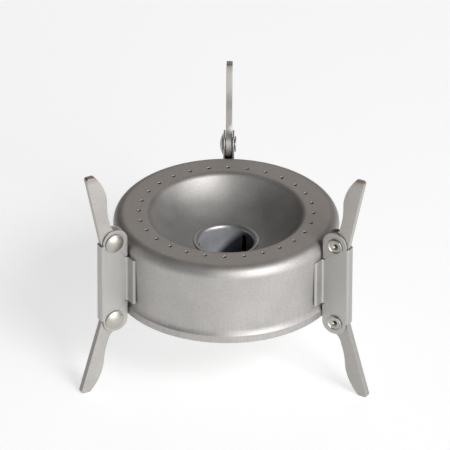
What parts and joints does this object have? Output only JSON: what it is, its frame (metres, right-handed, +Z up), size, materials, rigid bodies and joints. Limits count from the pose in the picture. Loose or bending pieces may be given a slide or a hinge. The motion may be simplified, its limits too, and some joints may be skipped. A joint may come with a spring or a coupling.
{
  "type": "folding spirit burner",
  "caption": "Round titanium spirit burner with a dished top, a ring of jet holes and a central feed tube, on brackets with folding pot supports and folding legs.",
  "frame": {"origin": "centre of the base pan's flat underside, on the burner's axis", "axes": "+Z up along the burner's axis, from the base pan to the dish; +Y towards the bracket at the back"},
  "size_m": [0.0898, 0.0865, 0.0763],
  "materials": {
    "shell": "matt, fine-blasted titanium sheet",
    "tube": "matt titanium sheet with a slightly brighter lip",
    "bracket": "satin titanium sheet",
    "blade": "matt, blanked titanium plate",
    "rivet": "polished"
  },
  "bodies": {
    "burner": {"burner_shell": "shell", "base_pan": "shell", "feed_tube": "tube", "bracket_1": "bracket", "bracket_2": "bracket", "bracket_3": "bracket", "upper_rivet_1": "rivet", "upper_rivet_2": "rivet", "upper_rivet_3": "rivet", "lower_rivet_1": "rivet", "lower_rivet_2": "rivet", "lower_rivet_3": "rivet"},
    "support_1": {"pot_support_1": "blade"},
    "leg_body_1": {"leg_1": "blade"},
    "support_2": {"pot_support_2": "blade"},
    "leg_body_2": {"leg_2": "blade"},
    "support_3": {"pot_support_3": "blade"},
    "leg_body_3": {"leg_3": "blade"}
  },
  "joints": [
    {"name": "support_hinge_1", "type": "hinge", "parent": "burner", "child": "support_1", "pos_m": [0, 0.0401, 0.0247], "axis": [1, 0, 0], "range_deg": [0, 100]},
    {"name": "leg_hinge_1", "type": "hinge", "parent": "burner", "child": "leg_body_1", "pos_m": [0, 0.0401, -0.0027], "axis": [-1, 0, 0], "range_deg": [0, 102]},
    {"name": "support_hinge_2", "type": "hinge", "parent": "burner", "child": "support_2", "pos_m": [-0.03473, -0.02005, 0.0247], "axis": [-0.5, 0.866, 0], "range_deg": [0, 100]},
    {"name": "leg_hinge_2", "type": "hinge", "parent": "burner", "child": "leg_body_2", "pos_m": [-0.03473, -0.02005, -0.0027], "axis": [0.5, -0.866, 0], "range_deg": [0, 102]},
    {"name": "support_hinge_3", "type": "hinge", "parent": "burner", "child": "support_3", "pos_m": [0.03473, -0.02005, 0.0247], "axis": [-0.5, -0.866, 0], "range_deg": [0, 100]},
    {"name": "leg_hinge_3", "type": "hinge", "parent": "burner", "child": "leg_body_3", "pos_m": [0.03473, -0.02005, -0.0027], "axis": [0.5, 0.866, 0], "range_deg": [0, 102]}
  ]
}
